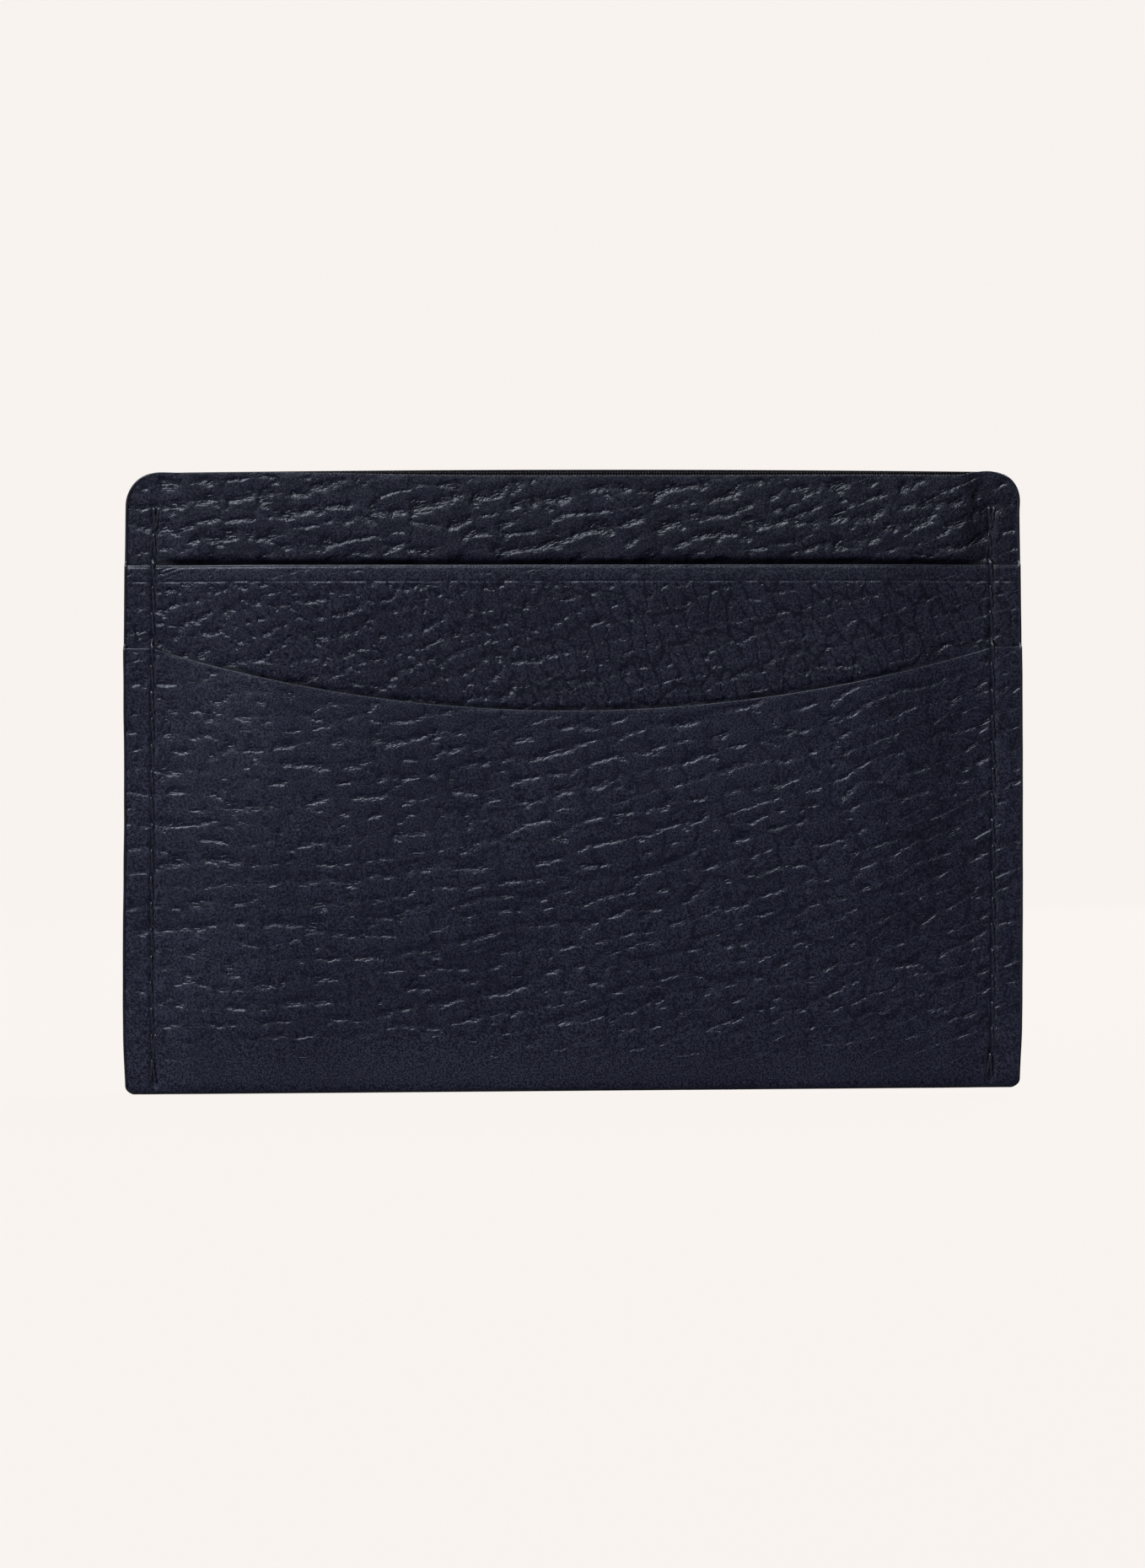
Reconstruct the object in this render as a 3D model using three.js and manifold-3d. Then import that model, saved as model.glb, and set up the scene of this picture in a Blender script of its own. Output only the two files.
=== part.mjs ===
// A slim leather card holder: two card slots on each side and a lined pocket between them.
//
// One piece of leather is folded under the bottom and makes the lower pocket of both sides.
// The other layers stand inside it. All of them are pressed together along the two side
// margins, sewn there with one lockstitch seam a side, and their cut edges are painted.
// Between the seams the layers stand apart, so that every slot takes a card.
//
// Frame, in millimetres: X runs across the holder, -Y is its front, +Z is up.
// The origin is the middle of the bottom fold, at its lowest line. The fold is too round to
// stand on: left alone, the holder lies on its front or its back.

import * as THREE from "three";
import { mergeVertices } from "three/addons/utils/BufferGeometryUtils.js";
import Module from "manifold-3d";

const wasm = await Module();
wasm.setup();

// ---- Driving dimensions ----

const WIDTH = 100;
const CORNER_HEIGHT = 68.9; // top edge where it meets the rounded corners
const BACK_CROWN = 0.4; // the back panel's top edge rises by this in the middle
const FRONT_DIP = 0.4; // and the front panel's sinks by this
const TOP_CORNER_R = 3.8;
const BOTTOM_CORNER_R = 1.0;

const UPPER_POCKET_TOP = 58.5;
const LOWER_POCKET_SIDE_TOP = 49.3;
const LOWER_POCKET_MIDDLE_TOP = 42.3;
const UPPER_POCKET_LEATHER_END = 36; // below this the upper pocket is fabric, to keep the holder slim

const SHELL_LEATHER = 0.6;
const INNER_LEATHER = 0.5;
const FABRIC = 0.1;
const GLUE_LINE = 0.03;
const CARD_GAP = 0.8; // a card is 0.76 thick
const NOTE_GAP = 0.4; // the pocket in the middle
const EDGE_PAINT = 0.18;
const PAINT_GAP = 0.02;

const SEAM_X = 46.7;
const CARD_ROOM_X = 43; // a card is 85.6 wide, so the slots keep their full gap up to here
const MARGIN_X = 45.9; // and the layers are pressed together from here outwards

const FIRST_STITCH = 1.0;
const STITCH = 2.92;
const STITCHES = 22;
const THREAD_R = 0.18;
const THREAD_CLEAR = 0.06; // between the thread in a needle hole and the groove's floor
const THREAD_PROUD = 0.04; // between holes, the thread's middle is this far above the leather
const THREAD_SIDES = 6;
const STEPS_PER_STITCH = 4;
const GROOVE_WIDTH = 0.5;
const GROOVE_DEPTH = 0.42;
const GROOVE_BELOW = 0.5; // a groove starts this far below the first needle hole
const GROOVE_ABOVE = 0.8; // and ends this far above the last
const GROOVE_TUCK = 1.2; // an inner layer's groove starts this far below the mouth in front of it

const SLOT_FLOOR = 11; // the upper slot ends here, so that its card stands out above the pocket
const SLOT_FABRIC_END = 8.5;
const SLOT_SEAM_Z = 9.8;
const SLOT_SEAM_R = 0.15;
const SLOT_SEAM_SIDES = 8;
const SLOT_SEAM_INSET = 0.5; // the seam stops this far short of the cards' full room
const SLOT_RAMP = 3;
const SLOT_RAMP_STEPS = 4;

const PANEL_BOTTOM = 1.2;
const SHELL_TAPER_TOP = 16; // the shell narrows from here down to its fold
const SHELL_TAPER_END = 4;
const SHELL_TAPER_STEPS = 6;
const FOLD_HALF = 2.42;
const FOLD_R = 2.2;
const FOLD_STEPS = 6;

const CORNER_SEGMENTS = 8;
const MOUTH_SEGMENTS = 20; // along the lower pocket's mouth
const MARGIN_STEPS = 5; // where the open slots close to the pressed margin

const NAVY = 0x1d202e;
const LINING_BLACK = 0x14151a;
const THREAD_NAVY = 0x23263a;
const PAINT_NAVY = 0x15171f;

// ---- The stack of layers ----

// Each layer's inner and outer distance from the middle plane, where the slots stand open
// (mid) and in the sewn margin (edge). They are added up from the middle outwards.
function stackLayers() {
  const order = [
    ["centreLining", NOTE_GAP / 2, FABRIC],
    ["panel", GLUE_LINE, INNER_LEATHER],
    ["slotFabric", CARD_GAP, FABRIC],
    ["upperPocket", GLUE_LINE, INNER_LEATHER],
    ["shellLining", CARD_GAP, FABRIC],
    ["shell", GLUE_LINE, SHELL_LEATHER],
  ];
  const stack = {};
  let mid = 0;
  let edge = 0;
  for (const [name, gap, thickness] of order) {
    mid += gap;
    edge += GLUE_LINE;
    const inner = { mid, edge };
    mid += thickness;
    edge += thickness;
    stack[name] = { inner, outer: { mid, edge } };
  }
  return stack;
}

const stack = stackLayers();
const halfWidth = WIDTH / 2;
const paintInset = EDGE_PAINT + PAINT_GAP;

// Cutting blocks reach past the holder on every side.
const ABOVE = 80;
const BELOW = -1;
const BEYOND = 60; // to the left and right
const DEEP = 10; // to the front and back
const BAND_BOTTOM = 30; // between the fold and the curved mouth
const CLEAR = 0.01; // keeps two cutting faces from lying on each other
const SAME_POINT = 1e-4;

// ---- Solids from three.js geometry ----

function toSolid(geometry) {
  const bare = geometry.index ? geometry.toNonIndexed() : geometry.clone();
  bare.deleteAttribute("normal");
  bare.deleteAttribute("uv");
  const merged = mergeVertices(bare, SAME_POINT);
  return new wasm.Manifold(
    new wasm.Mesh({
      numProp: 3,
      vertProperties: merged.attributes.position.array,
      triVerts: new Uint32Array(merged.index.array),
    }),
  );
}

function toGeometry(solid) {
  const mesh = solid.getMesh();
  const positions = new Float32Array(mesh.numVert * 3);
  for (let i = 0; i < mesh.numVert; i++) {
    const start = i * mesh.numProp;
    positions.set(mesh.vertProperties.subarray(start, start + 3), i * 3);
  }
  const geometry = new THREE.BufferGeometry();
  geometry.setAttribute("position", new THREE.BufferAttribute(positions, 3));
  geometry.setIndex(new THREE.BufferAttribute(mesh.triVerts, 1));
  geometry.computeVertexNormals();
  return geometry;
}

function extrude(shape, depth, curveSegments) {
  return new THREE.ExtrudeGeometry(shape, { depth, bevelEnabled: false, curveSegments });
}

// A section drawn in X and Y, extruded up Z.
function alongZ(shape, z0, z1) {
  return toSolid(extrude(shape, z1 - z0, CORNER_SEGMENTS).translate(0, 0, z0));
}

// An outline drawn in X and Z, extruded from y0 to y1.
function alongY(shape, y0, y1, curveSegments = CORNER_SEGMENTS) {
  const geometry = extrude(shape, y1 - y0, curveSegments);
  const basis = new THREE.Matrix4().makeBasis(
    new THREE.Vector3(1, 0, 0),
    new THREE.Vector3(0, 0, 1),
    new THREE.Vector3(0, -1, 0),
  );
  return toSolid(geometry.applyMatrix4(basis).translate(0, y1, 0));
}

// A profile drawn in Y and Z, extruded across X.
function alongX(shape, x0, x1) {
  const geometry = extrude(shape, x1 - x0, CORNER_SEGMENTS);
  const basis = new THREE.Matrix4().makeBasis(
    new THREE.Vector3(0, 1, 0),
    new THREE.Vector3(0, 0, 1),
    new THREE.Vector3(1, 0, 0),
  );
  return toSolid(geometry.applyMatrix4(basis).translate(x0, 0, 0));
}

function block(x0, x1, y0, y1, z0, z1) {
  const box = new THREE.BoxGeometry(x1 - x0, y1 - y0, z1 - z0);
  return toSolid(box.translate((x0 + x1) / 2, (y0 + y1) / 2, (z0 + z1) / 2));
}

const smooth = (t) => t * t * (3 - 2 * t);

// Points of a smooth ramp from one place to another, both ends included.
function ramp(from, to, steps) {
  const points = [];
  for (let i = 0; i <= steps; i++) {
    const t = i / steps;
    points.push([from[0] + (to[0] - from[0]) * t, from[1] + (to[1] - from[1]) * smooth(t)]);
  }
  return points;
}

// The section of everything within a distance of the middle plane: mid between the slots'
// sides, edge in the sewn margins.
function lens({ mid, edge }) {
  const right = ramp([CARD_ROOM_X, mid], [MARGIN_X, edge], MARGIN_STEPS);
  right.push([BEYOND, edge]);
  const left = right.map(([x, y]) => [-x, y]).reverse();
  const back = [...left, ...right];
  const front = back.map(([x, y]) => [x, -y]).reverse();
  const shape = new THREE.Shape([...back, ...front].map(([x, y]) => new THREE.Vector2(x, y)));
  return alongZ(shape, BELOW, ABOVE);
}

// The profile of everything within a distance of the middle plane that changes with height:
// halves is a list of [z, distance] from the bottom up.
function tower(halves) {
  const back = halves.map(([z, y]) => new THREE.Vector2(y, z));
  const front = halves.map(([z, y]) => new THREE.Vector2(-y, z)).reverse();
  return alongX(new THREE.Shape([...back, ...front]), -BEYOND, BEYOND);
}

// ---- Outlines, in X and Z ----

// A panel's outline: rounded top corners and a top edge that bows by rise in the middle.
function panelOutline(rise, inset, bottom) {
  const side = halfWidth - inset;
  const top = CORNER_HEIGHT - inset;
  const r = TOP_CORNER_R - inset;
  const shape = new THREE.Shape();
  shape.moveTo(-side, bottom);
  shape.lineTo(side, bottom);
  shape.lineTo(side, top - r);
  shape.absarc(side - r, top - r, r, 0, Math.PI / 2, false);
  shape.quadraticCurveTo(0, top + 2 * rise, -(side - r), top);
  shape.absarc(-(side - r), top - r, r, Math.PI / 2, Math.PI, false);
  return shape;
}

// The arc of the lower pocket's mouth, from the right seam to the left one.
const sag = LOWER_POCKET_SIDE_TOP - LOWER_POCKET_MIDDLE_TOP;
const mouthR = (SEAM_X * SEAM_X + sag * sag) / (2 * sag);

function addMouth(shape, side, drop) {
  const centreZ = LOWER_POCKET_MIDDLE_TOP + mouthR - drop;
  const half = Math.asin(SEAM_X / mouthR);
  shape.lineTo(side, LOWER_POCKET_SIDE_TOP - drop);
  shape.lineTo(SEAM_X, LOWER_POCKET_SIDE_TOP - drop);
  shape.absarc(0, centreZ, mouthR, -Math.PI / 2 + half, -Math.PI / 2 - half, true);
  shape.lineTo(-side, LOWER_POCKET_SIDE_TOP - drop);
}

// The shell's outline on each side: small bottom corners and the curved mouth.
function shellOutline(inset, drop) {
  const side = halfWidth - inset;
  const r = BOTTOM_CORNER_R - inset;
  const shape = new THREE.Shape();
  shape.moveTo(-side + r, 0);
  shape.lineTo(side - r, 0);
  shape.absarc(side - r, r, r, -Math.PI / 2, 0, false);
  addMouth(shape, side, drop);
  shape.lineTo(-side, r);
  shape.absarc(-side + r, r, r, Math.PI, Math.PI * 1.5, false);
  return shape;
}

// The strip just under the curved mouth that its edge paint covers.
function mouthBand() {
  const side = halfWidth - paintInset;
  const band = alongY(belowMouth(side, 0), -BEYOND, BEYOND, MOUTH_SEGMENTS);
  return band.subtract(alongY(belowMouth(side, EDGE_PAINT), -BEYOND, BEYOND, MOUTH_SEGMENTS));
}

function belowMouth(side, drop) {
  const shape = new THREE.Shape();
  shape.moveTo(-side, BAND_BOTTOM);
  shape.lineTo(side, BAND_BOTTOM);
  addMouth(shape, side, drop);
  return shape;
}

// ---- Layers ----

const frontHalf = block(-BEYOND, BEYOND, -DEEP, 0, BELOW, ABOVE);
const backHalf = block(-BEYOND, BEYOND, 0, DEEP, BELOW, ABOVE);
const halfOf = (side) => (side < 0 ? frontHalf : backHalf);

const SIDES = [
  { name: "front", sign: -1, rise: -FRONT_DIP },
  { name: "back", sign: 1, rise: BACK_CROWN },
];

// Everything between the inner face of one layer and the outer face of another.
const between = (inner, outer) => lens(stack[outer].outer).subtract(lens(stack[inner].inner));

// A groove along both seams, cut into a layer whose margin has its outer face at edge.
function grooves(edge, z0) {
  const floor = edge - GROOVE_DEPTH;
  const top = FIRST_STITCH + STITCHES * STITCH + GROOVE_ABOVE;
  let cut = null;
  for (const x of [-SEAM_X, SEAM_X]) {
    for (const [y0, y1] of [[-BEYOND, -floor], [floor, BEYOND]]) {
      const one = block(x - GROOVE_WIDTH / 2, x + GROOVE_WIDTH / 2, y0, y1, z0, top);
      cut = cut ? cut.add(one) : one;
    }
  }
  return cut;
}

// How far the shell and its lining reach from the middle plane near the fold, measured to a
// face that lies inset inside the shell's outer face.
function foldProfile(inset) {
  const half = FOLD_HALF - inset;
  const r = FOLD_R - inset;
  const points = [];
  for (let i = 0; i <= FOLD_STEPS; i++) {
    const a = (i / FOLD_STEPS) * (Math.PI / 2);
    points.push([inset + r - r * Math.cos(a), half - r + r * Math.sin(a)]);
  }
  const wide = stack.shell.outer.mid - inset + CLEAR;
  points.push(...ramp([SHELL_TAPER_END, half], [SHELL_TAPER_TOP, wide], SHELL_TAPER_STEPS));
  points.push([ABOVE, wide]);
  return tower(points);
}

function foldedLayer(name, insetOuter, insetInner, outline) {
  const outer = lens(stack[name].outer).intersect(foldProfile(insetOuter));
  const inner = lens(stack[name].inner).intersect(foldProfile(insetInner));
  return outer.subtract(inner).intersect(alongY(outline, -BEYOND, BEYOND, MOUTH_SEGMENTS));
}

// The folded leather piece: the lower pocket of both sides.
function makeShell() {
  const shell = foldedLayer("shell", 0, SHELL_LEATHER, shellOutline(paintInset, paintInset));
  return shell.subtract(grooves(stack.shell.outer.edge, FIRST_STITCH - GROOVE_BELOW));
}

// The fabric glued inside it.
function makeShellLining() {
  const inset = SHELL_LEATHER + GLUE_LINE;
  const outline = shellOutline(paintInset, paintInset);
  return foldedLayer("shellLining", inset, inset + FABRIC, outline);
}

// A full-height panel, which stands behind the cards of one side.
function makePanel({ sign, rise }) {
  const outline = alongY(panelOutline(rise, paintInset, PANEL_BOTTOM), -BEYOND, BEYOND);
  const panel = between("panel", "panel").intersect(outline).intersect(halfOf(sign));
  return panel.subtract(grooves(stack.panel.outer.edge, UPPER_POCKET_TOP - GROOVE_TUCK));
}

// The lining of the pocket between the panels: one piece of fabric, folded at the bottom.
function makeCentreLining() {
  const { inner, outer } = stack.centreLining;
  const floor = PANEL_BOTTOM + FABRIC;
  const hollow = lens(inner).intersect(block(-BEYOND, BEYOND, -DEEP, DEEP, floor, ABOVE));
  const back = panelOutline(BACK_CROWN, paintInset, PANEL_BOTTOM);
  const front = panelOutline(-FRONT_DIP, paintInset, PANEL_BOTTOM);
  const aboveFront = frontHalf.subtract(alongY(front, -BEYOND, BEYOND));
  const lining = lens(outer).subtract(hollow).intersect(alongY(back, -BEYOND, BEYOND));
  return lining.subtract(aboveFront);
}

// The upper pocket's leather: a strip that shows above the lower pocket, with a leg down
// each margin, so that the sewn stack is equally thick all the way down.
function makeUpperPocket({ sign }) {
  const side = halfWidth - paintInset;
  const top = UPPER_POCKET_TOP - paintInset;
  const shape = new THREE.Shape();
  shape.moveTo(-side, PANEL_BOTTOM);
  shape.lineTo(-MARGIN_X, PANEL_BOTTOM);
  shape.lineTo(-MARGIN_X, UPPER_POCKET_LEATHER_END);
  shape.lineTo(MARGIN_X, UPPER_POCKET_LEATHER_END);
  shape.lineTo(MARGIN_X, PANEL_BOTTOM);
  shape.lineTo(side, PANEL_BOTTOM);
  shape.lineTo(side, top);
  shape.lineTo(-side, top);
  const pocket = between("upperPocket", "upperPocket").intersect(alongY(shape, -BEYOND, BEYOND));
  const start = LOWER_POCKET_SIDE_TOP - GROOVE_TUCK;
  return pocket.subtract(grooves(stack.upperPocket.outer.edge, start)).intersect(halfOf(sign));
}

// The fabric behind that leather. It runs down to the slot's floor, where it turns in and is
// sewn flat to the panel.
function makeSlotFabric({ sign }) {
  const flat = stack.panel.outer.mid + GLUE_LINE;
  const open = stack.slotFabric.inner.mid;
  const rampTop = SLOT_FLOOR + SLOT_RAMP;
  const turn = (reach) => [
    [BELOW, flat + reach],
    ...ramp([SLOT_FLOOR, flat + reach], [rampTop, open + reach], SLOT_RAMP_STEPS),
    [ABOVE, open + reach],
  ];
  const outer = lens(stack.slotFabric.outer).intersect(tower(turn(FABRIC)));
  const inner = lens(stack.slotFabric.inner).intersect(tower(turn(0)));
  const side = halfWidth - paintInset;
  const top = UPPER_POCKET_TOP - paintInset;
  const extent = block(-side, side, -DEEP, DEEP, SLOT_FABRIC_END, top);
  return outer.subtract(inner).intersect(extent).intersect(halfOf(sign));
}

// The hidden seam that closes the upper slot's floor.
function makeSlotSeam({ sign }) {
  const face = stack.panel.outer.mid + GLUE_LINE + FABRIC;
  const y = sign * (face + PAINT_GAP + SLOT_SEAM_R);
  const reach = CARD_ROOM_X - SLOT_SEAM_INSET;
  const geometry = new THREE.CylinderGeometry(SLOT_SEAM_R, SLOT_SEAM_R, 2 * reach, SLOT_SEAM_SIDES);
  return toSolid(geometry.rotateZ(Math.PI / 2).translate(0, y, SLOT_SEAM_Z));
}

// ---- Edge paint ----

function makePanelPaint({ sign, rise }) {
  const whole = alongY(panelOutline(rise, 0, UPPER_POCKET_TOP), -BEYOND, BEYOND);
  const inside = alongY(panelOutline(rise, EDGE_PAINT, LOWER_POCKET_SIDE_TOP), -BEYOND, BEYOND);
  const run = halfWidth - TOP_CORNER_R - PAINT_GAP;
  const reach = block(-run, run, -DEEP, DEEP, UPPER_POCKET_TOP, ABOVE);
  const band = whole.subtract(inside).intersect(reach);
  return between("centreLining", "panel").intersect(band).intersect(halfOf(sign));
}

function makeUpperPocketPaint({ sign }) {
  const side = halfWidth - paintInset;
  const band = block(-side, side, -DEEP, DEEP, UPPER_POCKET_TOP - EDGE_PAINT, UPPER_POCKET_TOP);
  const bead = between("slotFabric", "upperPocket").intersect(band).intersect(halfOf(sign));
  return bead.subtract(grooves(stack.upperPocket.outer.edge, LOWER_POCKET_SIDE_TOP));
}

function makeLowerPocketPaint({ sign }) {
  const bead = between("shellLining", "shell").intersect(mouthBand()).intersect(halfOf(sign));
  return bead.subtract(grooves(stack.shell.outer.edge, LOWER_POCKET_MIDDLE_TOP));
}

// The paint down one side covers the cut edges of the whole stack, from the bottom corner to
// the end of the top corner. The stack gets thinner where each pocket ends.
function makeSidePaint(side) {
  const whole = alongY(panelOutline(0, 0, 0), -BEYOND, BEYOND);
  const inside = alongY(panelOutline(0, EDGE_PAINT, BELOW), -BEYOND, BEYOND);
  const run = halfWidth - TOP_CORNER_R;
  const bottomCorner = alongY(shellOutline(0, 0), -BEYOND, BEYOND);
  const above = block(-BEYOND, BEYOND, -DEEP, DEEP, BOTTOM_CORNER_R, ABOVE);
  const steps = tower([
    [0, stack.shell.outer.edge],
    [LOWER_POCKET_SIDE_TOP, stack.shell.outer.edge],
    [LOWER_POCKET_SIDE_TOP, stack.upperPocket.outer.edge],
    [UPPER_POCKET_TOP, stack.upperPocket.outer.edge],
    [UPPER_POCKET_TOP, stack.panel.outer.edge],
    [ABOVE, stack.panel.outer.edge],
  ]);
  const [x0, x1] = side < 0 ? [-BEYOND, -run] : [run, BEYOND];
  const reach = block(x0, x1, -DEEP, DEEP, 0, ABOVE);
  const rim = whole.subtract(inside).intersect(above.add(bottomCorner));
  return rim.intersect(steps).intersect(foldProfile(0)).intersect(reach);
}

// ---- Seams ----

function marginFace(z) {
  if (z < LOWER_POCKET_SIDE_TOP) return stack.shell.outer.edge;
  if (z < UPPER_POCKET_TOP) return stack.upperPocket.outer.edge;
  return stack.panel.outer.edge;
}

// One face of a side seam: the thread lies on the leather between needle holes and dips into
// each of them. A stitch that crosses the mouth of a pocket is highest on that mouth's edge.
function makeThread(side, sign) {
  const sunk = GROOVE_DEPTH - THREAD_R - THREAD_CLEAR;
  const points = [];
  for (let i = 0; i <= STITCHES; i++) {
    const hole = FIRST_STITCH + i * STITCH;
    points.push(new THREE.Vector3(0, sign * (marginFace(hole) - sunk), hole));
    if (i === STITCHES) break;
    const next = hole + STITCH;
    const edge = [LOWER_POCKET_SIDE_TOP, UPPER_POCKET_TOP].find((z) => z > hole && z < next);
    const crest = edge ?? hole + STITCH / 2;
    points.push(new THREE.Vector3(0, sign * (marginFace(hole) + THREAD_PROUD), crest));
  }
  const section = new THREE.Shape();
  for (let i = 0; i < THREAD_SIDES; i++) {
    const a = (i / THREAD_SIDES) * 2 * Math.PI;
    const move = i ? "lineTo" : "moveTo";
    section[move](THREAD_R * Math.cos(a), THREAD_R * Math.sin(a));
  }
  const path = new THREE.CatmullRomCurve3(points);
  const steps = STITCHES * STEPS_PER_STITCH;
  const tube = new THREE.ExtrudeGeometry(section, { steps, extrudePath: path });
  return toSolid(tube.translate(side * SEAM_X, 0, 0));
}

// ---- Assembly ----

function material(color, roughness) {
  return new THREE.MeshStandardMaterial({ color, roughness, metalness: 0 });
}

const leather = material(NAVY, 0.5);
const lining = material(LINING_BLACK, 0.85);
const thread = material(THREAD_NAVY, 0.6);
const paint = material(PAINT_NAVY, 0.4);

const holder = new THREE.Group();

function add(name, solid, look) {
  const mesh = new THREE.Mesh(toGeometry(solid), look);
  mesh.name = name;
  holder.add(mesh);
}

add("outer_shell", makeShell(), leather);
add("shell_lining", makeShellLining(), lining);
add("centre_pocket_lining", makeCentreLining(), lining);

for (const side of SIDES) {
  add(`${side.name}_panel`, makePanel(side), leather);
  add(`${side.name}_upper_pocket`, makeUpperPocket(side), leather);
  add(`${side.name}_slot_fabric`, makeSlotFabric(side), lining);
  add(`${side.name}_slot_floor_seam`, makeSlotSeam(side), thread);
  add(`${side.name}_panel_edge_paint`, makePanelPaint(side), paint);
  add(`${side.name}_upper_pocket_edge_paint`, makeUpperPocketPaint(side), paint);
  add(`${side.name}_lower_pocket_edge_paint`, makeLowerPocketPaint(side), paint);
}

for (const [name, side] of [["left", -1], ["right", 1]]) {
  add(`${name}_edge_paint`, makeSidePaint(side), paint);
  add(`${name}_seam_front_thread`, makeThread(side, -1), thread);
  add(`${name}_seam_back_thread`, makeThread(side, 1), thread);
}

export default holder;
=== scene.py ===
"""The looks of a grained leather card holder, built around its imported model.

Every piece is made here in millimetres, in the frame's own axes (X across, -Y front, +Z up),
and turned into metres as its mesh is written. The layers are thin closed slabs, laid on the
same stack of offsets from the middle plane as the model's solids.
"""

import math

import bmesh
import bpy
import numpy as np
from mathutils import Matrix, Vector


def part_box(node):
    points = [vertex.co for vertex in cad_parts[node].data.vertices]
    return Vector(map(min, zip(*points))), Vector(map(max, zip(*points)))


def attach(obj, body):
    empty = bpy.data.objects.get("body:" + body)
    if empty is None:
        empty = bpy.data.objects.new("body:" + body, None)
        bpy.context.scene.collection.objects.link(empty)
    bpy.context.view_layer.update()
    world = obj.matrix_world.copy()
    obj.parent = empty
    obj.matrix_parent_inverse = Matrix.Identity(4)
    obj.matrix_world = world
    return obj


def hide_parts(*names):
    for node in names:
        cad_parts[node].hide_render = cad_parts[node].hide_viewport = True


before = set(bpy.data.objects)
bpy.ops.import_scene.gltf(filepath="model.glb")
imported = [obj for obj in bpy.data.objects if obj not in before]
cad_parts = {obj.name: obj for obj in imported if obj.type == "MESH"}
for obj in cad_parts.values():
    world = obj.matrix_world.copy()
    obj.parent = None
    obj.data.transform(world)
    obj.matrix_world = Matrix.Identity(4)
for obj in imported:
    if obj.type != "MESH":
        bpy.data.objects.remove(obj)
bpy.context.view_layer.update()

MM = 0.001


# ---- Sizes read from the frame, in millimetres ----

def box_mm(node):
    """The lowest and the highest corner of a node, in millimetres."""
    lo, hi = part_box(node)
    return np.array(lo) / MM, np.array(hi) / MM


SIDE = box_mm("right_edge_paint")[1][0]  # half of the width
CORNER_TOP = box_mm("right_edge_paint")[1][2]
BACK_TOP = box_mm("back_panel_edge_paint")[1][2]
UPPER_TOP = box_mm("front_upper_pocket_edge_paint")[1][2]
MOUTH_SIDE = box_mm("front_lower_pocket_edge_paint")[1][2]
MOUTH_SAG = 7.0  # the lower pocket's mouth is this much lower in its middle
SEAM_X = sum(c[0] for c in box_mm("right_seam_front_thread")) / 2
SEAM_LOW = box_mm("right_seam_front_thread")[0][2]
SEAM_HIGH = box_mm("right_seam_front_thread")[1][2]
PANEL_LOW = box_mm("front_panel")[0][2]
FABRIC_LOW = box_mm("front_slot_fabric")[0][2]

PILLOW_X = 32.0  # the layers stand fully apart up to here, and come together up to FLAT_X
FLAT_X = 46.2
MARGIN_X = 45.9  # the sewn margins start here
INSET = 0.12  # the leather's cut edges lie this far inside the painted outline
LEATHER_SIDE = SIDE - INSET
TOP_CORNER_R = 3.8
BOTTOM_CORNER_R = 1.0
BACK_CROWN = 0.75 * (BACK_TOP - CORNER_TOP)  # the top edge's rise in its middle
PANEL_SWELL = 0.8
UPPER_SWELL = 0.42
FOLD_HALF = 2.42  # half of the thickness at the fold
FOLD_R = 2.2
FOLD_TOP = 2.0  # the shell widens from here up to SHELL_FULL
SHELL_FULL = 30.0
STITCHES = 22
SEAM_GROOVE = 0.30  # how deep the thread presses the leather in
THREAD_END = 0.18  # the thread reaches this far past the first and the last needle hole
FIRST_HOLE = SEAM_LOW + THREAD_END
PITCH = (SEAM_HIGH - SEAM_LOW - 2 * THREAD_END) / STITCHES

# Each layer's outer face, as its distance from the middle plane: between the seams (mid),
# and pressed together in the sewn margins (edge). Then its thickness.
STACK = {
    "centre": (0.30, 0.13, 0.10),
    "panel": (0.83, 0.66, 0.50),
    "slot_fabric": (1.73, 0.79, 0.10),
    "upper": (2.26, 1.32, 0.50),
    "lining": (3.16, 1.45, 0.10),
    "shell": (3.79, 2.08, 0.60),
}

rng = np.random.default_rng(7)


# ---- Small maths ----

def smooth(a, b, x):
    """0 up to a and 1 from b on, with a soft step between them. b may be less than a."""
    t = np.clip((np.asarray(x, float) - a) / (np.asarray(b) - a), 0, 1)
    return t * t * (3 - 2 * t)


def bump(x, centre, width):
    """A bell with its top, 1, at centre."""
    return np.exp(-(((np.asarray(x, float) - centre) / width) ** 2))


def ripple(x, z, seed, size):
    """A slow random swell, mostly from -1 to 1, made of sine waves about size mm long."""
    waves = np.random.default_rng(seed)
    total = np.zeros(np.broadcast(x, z).shape)
    for _ in range(7):
        turn = waves.uniform(0, math.pi)
        length = size * waves.uniform(0.7, 1.6)
        phase = waves.uniform(0, 2 * math.pi)
        total += np.sin((x * math.cos(turn) + z * math.sin(turn)) * 2 * math.pi / length + phase)
    return total / 3.5


# ---- The holder's surfaces ----

def pillow(x):
    """1 where the layers stand apart between the seams, 0 in the pressed margins."""
    return 1 - smooth(PILLOW_X, FLAT_X, np.abs(x))


def mouth(x):
    """Height of the lower pocket's curved mouth."""
    radius = (SEAM_X**2 + MOUTH_SAG**2) / (2 * MOUTH_SAG)
    reach = np.minimum(np.abs(x), SEAM_X)
    return MOUTH_SIDE - MOUTH_SAG + radius - np.sqrt(radius**2 - reach**2)


def lining_shown(x):
    """How much of the back lining stands above the front panel."""
    shown = (0.16 + 0.59 * smooth(-40, -6, x)) * (1 - 0.28 * smooth(12, 38, x))
    return shown * (1 - smooth(42.5, FLAT_X, np.abs(x)))


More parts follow.
